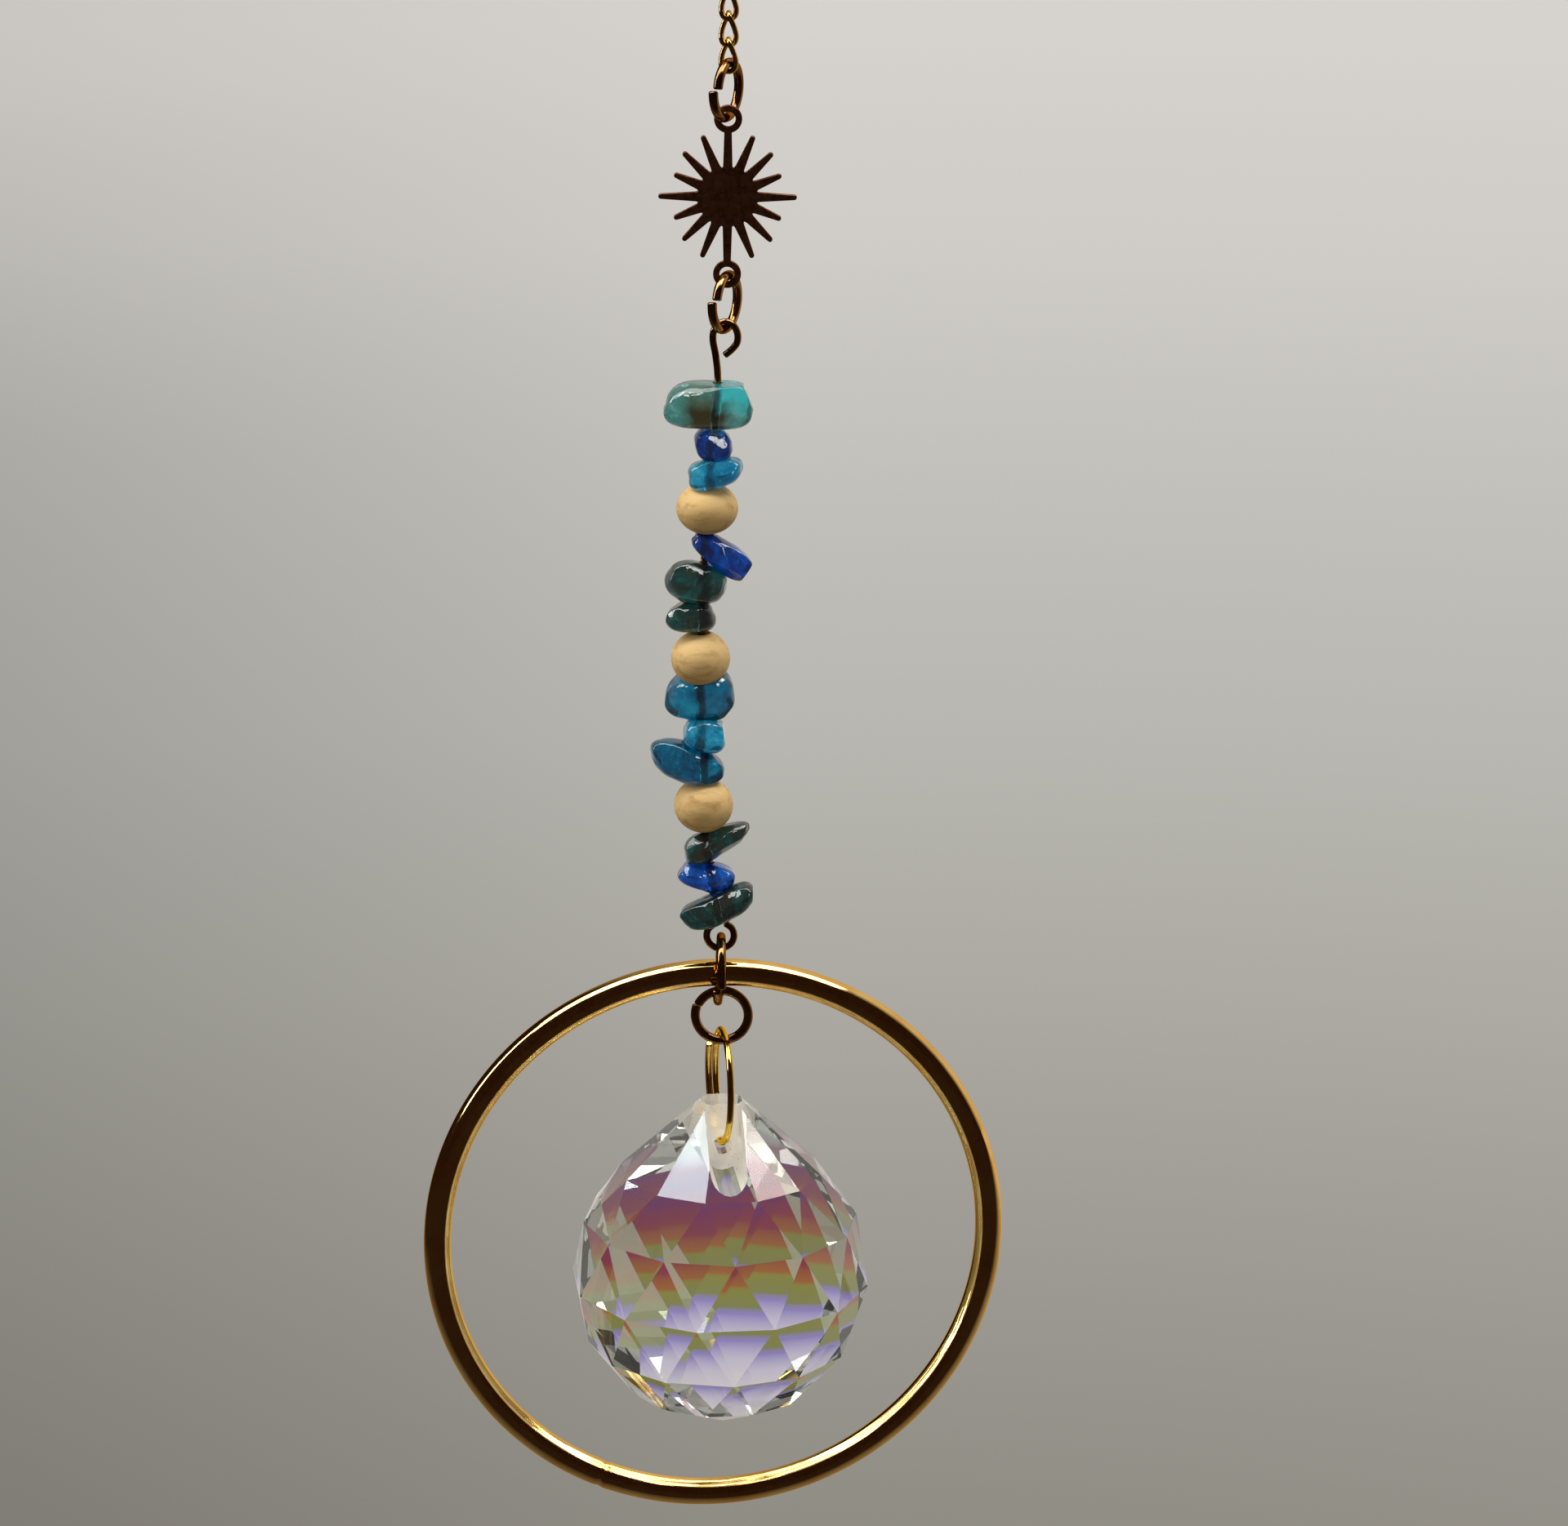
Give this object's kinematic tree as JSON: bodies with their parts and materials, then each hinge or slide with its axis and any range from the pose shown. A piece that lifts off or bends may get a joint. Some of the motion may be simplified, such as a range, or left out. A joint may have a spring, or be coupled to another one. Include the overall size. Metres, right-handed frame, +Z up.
{
  "type": "crystal suncatcher",
  "caption": "Hanging suncatcher: chain, sun charm, wire of stone chips and wooden beads, and a round hoop with a faceted crystal ball hung inside it.",
  "frame": {"origin": "inside top of the hanging ring, where a hook or nail bears", "axes": "+Z up along the hanging line, the front of the sun charm and hoop faces -Y"},
  "size_m": [0.058, 0.0296, 0.1834],
  "materials": {
    "bronze_wire": "polished, dark reflections",
    "chain_gold": "polished plate",
    "charm_plate": "satin plate seen against the light",
    "hoop_gold": "polished plate",
    "bail_gold": "bright plate",
    "pale_wood": "smooth, unvarnished",
    "stone_pale_teal": "tumbled, glossy, cloudy",
    "stone_cobalt": "tumbled, glossy, cloudy",
    "stone_sky": "tumbled, glossy, cloudy",
    "stone_ocean": "tumbled, glossy, cloudy",
    "stone_dark_teal": "tumbled, glossy, cloudy",
    "crystal_glass": "polished facets under a thin iridescent coating"
  },
  "bodies": {
    "root": {"bail": "bail_gold", "chain_link_01": "chain_gold", "chain_link_02": "chain_gold", "chain_link_03": "chain_gold", "chain_link_04": "chain_gold", "chain_link_05": "chain_gold", "chain_link_06": "chain_gold", "chain_link_07": "chain_gold", "chain_link_08": "chain_gold", "chain_link_09": "chain_gold", "chain_link_10": "chain_gold", "chain_link_11": "chain_gold", "chip_dark_green": "stone_dark_teal", "chip_dark_teal": "stone_dark_teal", "chip_grey_teal": "stone_dark_teal", "chip_large_blue": "stone_ocean", "chip_long_blue": "stone_ocean", "chip_long_teal": "stone_pale_teal", "chip_navy": "stone_cobalt", "chip_round_blue": "stone_cobalt", "chip_sky_blue": "stone_sky", "chip_small_cyan": "stone_sky", "chip_small_teal": "stone_dark_teal", "chip_vivid_blue": "stone_cobalt", "crystal": "crystal_glass", "crystal_ring": "bronze_wire", "eye_pin": "bronze_wire", "hanging_ring": "bronze_wire", "hoop": "hoop_gold", "hoop_ring": "bronze_wire", "lower_ring": "bronze_wire", "sun_charm": "charm_plate", "upper_ring": "bronze_wire", "wood_bead_lower": "pale_wood", "wood_bead_middle": "pale_wood", "wood_bead_upper": "pale_wood"}
  },
  "joints": []
}
